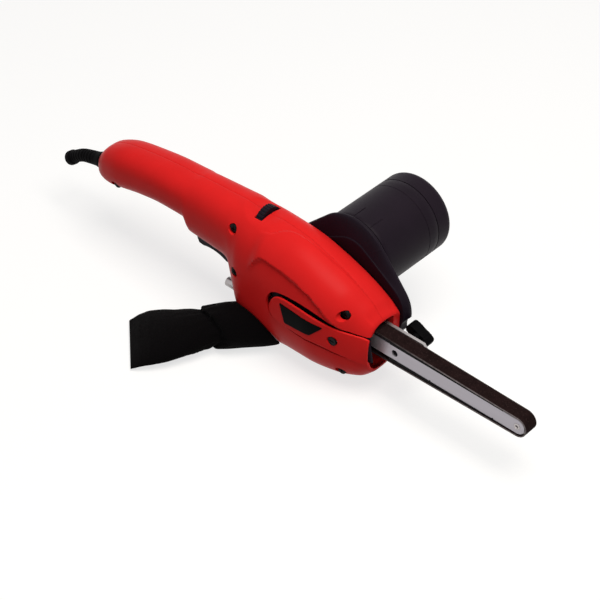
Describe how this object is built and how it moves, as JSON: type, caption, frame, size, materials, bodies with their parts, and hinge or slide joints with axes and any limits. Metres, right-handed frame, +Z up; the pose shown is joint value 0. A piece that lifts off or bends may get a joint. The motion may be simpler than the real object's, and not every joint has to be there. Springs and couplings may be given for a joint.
{
  "type": "power file",
  "caption": "Hand-held electric belt file: slim sanding belt on a forward arm, cross-mounted motor, trigger handle, tracking knob and dust bag.",
  "frame": {"origin": "under the middle of the whole tool, on the surface it lies on", "axes": "+X forward along the belt arm, +Y towards the motor, +Z up"},
  "size_m": [0.4848, 0.2276, 0.123],
  "materials": {
    "red_plastic": "satin moulded red plastic",
    "nameplate": "bare black plate",
    "black_plastic": "fine moulded grain",
    "black_rubber": "matt",
    "bag_cloth": "plain woven cloth",
    "arm_paint": "silver-grey satin",
    "abrasive": "grit on a cloth backing",
    "steel": "turned or pressed steel",
    "chrome": "polished",
    "screw_black": "blackened",
    "pulley_metal": "turned",
    "lamination": "stacked sheet",
    "copper": "varnished copper",
    "brass": "pressed sheet",
    "carbon": "carbon block",
    "circuit_board": "circuit board",
    "terminal_plastic": "moulded"
  },
  "bodies": {
    "housing": {"right_housing": "red_plastic", "left_housing": "red_plastic", "belt_cover": "red_plastic", "nameplate": "nameplate", "housing_screws": "screw_black", "cover_screw": "screw_black", "cover_post": "steel", "motor_housing": "black_plastic", "motor_end_cap": "black_plastic", "cap_screws": "screw_black", "bearing_bracket": "steel", "gear_plate": "steel", "stator_core": "lamination", "field_windings": "copper", "brush_holders": "brass", "carbon_brushes": "carbon", "front_bearing": "steel", "rear_bearing": "steel", "inner_drive_bearing": "steel", "outer_drive_bearing": "steel", "tension_spring": "steel", "trigger_pin": "steel", "trigger_spring": "steel", "switch_body": "black_plastic", "speed_board": "circuit_board", "terminal_block": "terminal_plastic", "cord_clamp": "black_plastic", "cord_boot": "black_rubber", "dust_port": "black_plastic", "bag_ring": "black_rubber", "dust_bag": "bag_cloth"},
    "armature": {"motor_shaft": "steel", "armature_core": "lamination", "armature_windings": "copper", "commutator": "copper", "cooling_fan": "black_plastic", "pinion": "steel"},
    "drive": {"drive_shaft": "steel", "driven_gear": "steel", "drive_pulley": "pulley_metal"},
    "carriage": {"arm_carrier": "steel", "release_rod": "chrome"},
    "knob": {"tracking_knob": "black_plastic", "tracking_screw": "chrome"},
    "arm": {"belt_arm": "arm_paint", "upper_platen": "screw_black", "lower_platen": "screw_black", "pivot_pin": "steel", "tip_pin": "steel", "abrasive_belt": "abrasive"},
    "tip": {"tip_roller": "steel"},
    "trigger": {"trigger": "black_plastic"},
    "lock": {"lock_button": "black_plastic"},
    "dial": {"speed_dial": "black_plastic"}
  },
  "joints": [
    {"name": "armature_spin", "type": "hinge", "parent": "housing", "child": "armature", "pos_m": [0.04961, 0.06678, 0.085], "axis": [0, 1, 0], "continuous": true},
    {"name": "drive_spin", "type": "hinge", "parent": "housing", "child": "drive", "pos_m": [0.03661, 0.00679, 0.05], "axis": [0, 1, 0], "continuous": true},
    {"name": "arm_slide", "type": "slide", "parent": "housing", "child": "carriage", "axis": [1, 0, 0], "range_m": [-0.004, 0], "stiffness_N_per_m": 1500, "springref_m": 0.02, "deforming": ["tension_spring"]},
    {"name": "tracking_turn", "type": "hinge", "parent": "carriage", "child": "knob", "pos_m": [0.12061, 0.02678, 0.05], "axis": [0, 1, 0], "range_deg": [-140, 140]},
    {"name": "arm_yaw", "type": "hinge", "parent": "carriage", "child": "arm", "pos_m": [0.10261, 0.00679, 0.05], "axis": [0, 0, 1], "range_deg": [-1, 1]},
    {"name": "tip_spin", "type": "hinge", "parent": "arm", "child": "tip", "pos_m": [0.23389, 0.00679, 0.05], "axis": [0, 1, 0], "continuous": true},
    {"name": "trigger_pull", "type": "hinge", "parent": "housing", "child": "trigger", "pos_m": [-0.07689, 0.00679, 0.06], "axis": [0, -1, 0], "range_deg": [0, 6], "stiffness_Nm_per_rad": 0.8, "springref_deg": -8.59, "deforming": ["trigger_spring"]},
    {"name": "lock_press", "type": "slide", "parent": "housing", "child": "lock", "axis": [0, -1, 0], "range_m": [0, 0.003], "stiffness_N_per_m": 800, "springref_m": -0.003},
    {"name": "speed_turn", "type": "hinge", "parent": "housing", "child": "dial", "pos_m": [-0.01339, 0.00679, 0.1022], "axis": [1, 0, 0], "range_deg": [-135, 135]}
  ],
  "couplings": [
    {"joint": "drive_spin", "follows": "armature_spin", "ratio": -0.66667},
    {"joint": "tip_spin", "follows": "armature_spin", "ratio": -1.0115},
    {"joint": "arm_yaw", "follows": "tracking_turn", "ratio": 0.007074}
  ]
}
